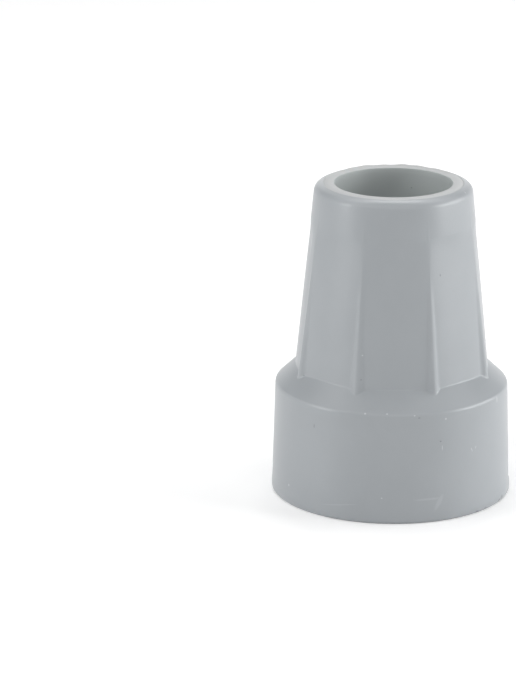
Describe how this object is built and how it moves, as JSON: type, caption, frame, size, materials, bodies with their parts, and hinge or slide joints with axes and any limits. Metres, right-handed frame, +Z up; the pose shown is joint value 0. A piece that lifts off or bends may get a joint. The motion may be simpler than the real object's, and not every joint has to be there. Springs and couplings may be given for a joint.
{
  "type": "cane tip",
  "caption": "Rubber tip for a cane or crutch: a ribbed tapered socket on a wide round foot with a grooved tread.",
  "frame": {"origin": "centre of the tread's rim, in the plane on which the tip stands", "axes": "+Z up the axis of the tip and out of the mouth of its bore; -Y towards the front, where a panel of the socket faces; +X to the right of the front"},
  "size_m": [0.0388, 0.0388, 0.0514],
  "materials": {
    "rubber": "smooth semi-matte moulded grey rubber"
  },
  "bodies": {
    "root": {"cane_tip": "rubber"}
  },
  "joints": []
}
